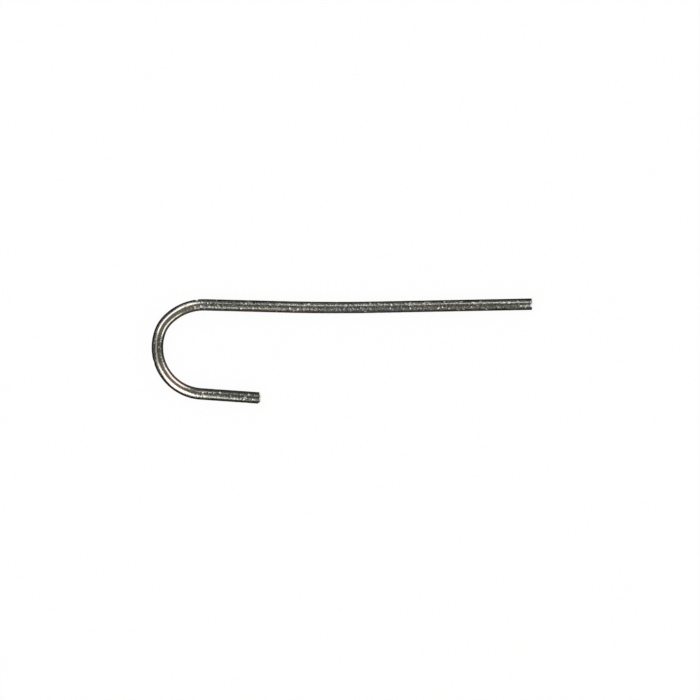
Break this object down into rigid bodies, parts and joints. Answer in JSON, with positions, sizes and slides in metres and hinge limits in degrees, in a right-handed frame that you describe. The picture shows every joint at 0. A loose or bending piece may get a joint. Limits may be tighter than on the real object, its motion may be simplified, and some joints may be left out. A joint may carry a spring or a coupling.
{
  "type": "watch yoke spring",
  "caption": "J-shaped spring of round steel wire: a short leg and a round bend that seat in the movement, and a long arm that flexes and presses on the yoke.",
  "frame": {"origin": "the foot of the axis that the heel of the bend is round, on the plane that the spring lies on", "axes": "+X along the long arm towards its tip, +Y from the short leg towards the long arm, +Z square to the plane of the J"},
  "size_m": [0.0075, 0.0021, 0.0002],
  "materials": {
    "drawn_wire": "drawn spring steel, dull and finely pitted",
    "burnished_wire": "drawn spring steel, burnished by the forming pin"
  },
  "bodies": {
    "hook": {"short_leg": "drawn_wire", "heel": "burnished_wire", "crown": "burnished_wire", "shoulder": "burnished_wire"},
    "arm": {"arm_root": "drawn_wire", "arm_bow": "drawn_wire", "arm_tip": "drawn_wire"}
  },
  "joints": [
    {"name": "arm_flex", "type": "hinge", "parent": "hook", "child": "arm", "pos_m": [0.00003, 0.00084, 0.00012], "axis": [0, 0, 1], "range_deg": [-9, 3], "stiffness_Nm_per_rad": 0.00497}
  ]
}
